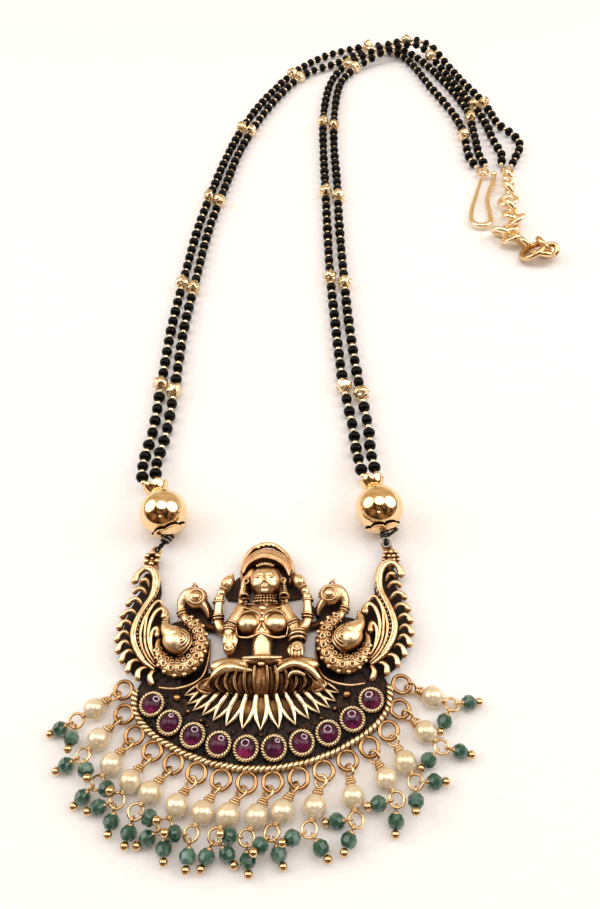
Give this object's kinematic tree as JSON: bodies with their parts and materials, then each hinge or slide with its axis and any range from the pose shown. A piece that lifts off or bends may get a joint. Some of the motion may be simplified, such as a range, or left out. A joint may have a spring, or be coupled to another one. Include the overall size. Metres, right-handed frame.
{
  "type": "mangalsutra necklace",
  "caption": "Mangalsutra laid flat: double strings of black beads and gold balls carry a cast pendant with a seated figure, peacocks, red stones and pearl drops.",
  "frame": {"origin": "on the flat back of the pendant, near its middle", "axes": "+Y up the chain from the pendant, +Z off the surface it lies on"},
  "size_m": [0.1213, 0.2814, 0.01],
  "materials": {
    "antique_gold": "antique gold casting, dark in its recesses",
    "polished_gold": "polished yellow gold plating",
    "ruby_glass": "polished purple-red glass",
    "pearl": "cream pearl lustre",
    "green_glass": "cloudy faceted green glass",
    "black_glass": "glossy black glass seed beads",
    "black_thread": "waxed black thread"
  },
  "bodies": {
    "root": {"pendant": "antique_gold", "ruby_01": "ruby_glass", "ruby_02": "ruby_glass", "ruby_03": "ruby_glass", "ruby_04": "ruby_glass", "ruby_05": "ruby_glass", "ruby_06": "ruby_glass", "ruby_07": "ruby_glass", "ruby_08": "ruby_glass", "ruby_09": "ruby_glass", "ruby_10": "ruby_glass", "pearl_01": "pearl", "pearl_02": "pearl", "pearl_03": "pearl", "pearl_04": "pearl", "pearl_05": "pearl", "pearl_06": "pearl", "pearl_07": "pearl", "pearl_08": "pearl", "pearl_09": "pearl", "pearl_10": "pearl", "pearl_11": "pearl", "pearl_12": "pearl", "pearl_13": "pearl", "pearl_14": "pearl", "pearl_15": "pearl", "pearl_16": "pearl", "drop_wires_left": "polished_gold", "drop_wires_right": "polished_gold", "headpins_left": "polished_gold", "headpins_right": "polished_gold", "ball_left": "polished_gold", "ball_right": "polished_gold", "gold_beads_left": "polished_gold", "gold_beads_right": "polished_gold", "hook_ring": "polished_gold", "hook_clasp": "polished_gold", "extender_ring": "polished_gold", "extender_chain": "polished_gold", "end_charm": "polished_gold", "upper_cap_left": "polished_gold", "upper_cap_right": "polished_gold", "lower_cap_left": "polished_gold", "lower_cap_right": "polished_gold", "green_beads_left": "green_glass", "green_beads_right": "green_glass", "thread_left": "black_thread", "thread_right": "black_thread", "strand_left_outer": "black_glass", "strand_left_inner": "black_glass", "strand_right_outer": "black_glass", "strand_right_inner": "black_glass"}
  },
  "joints": []
}
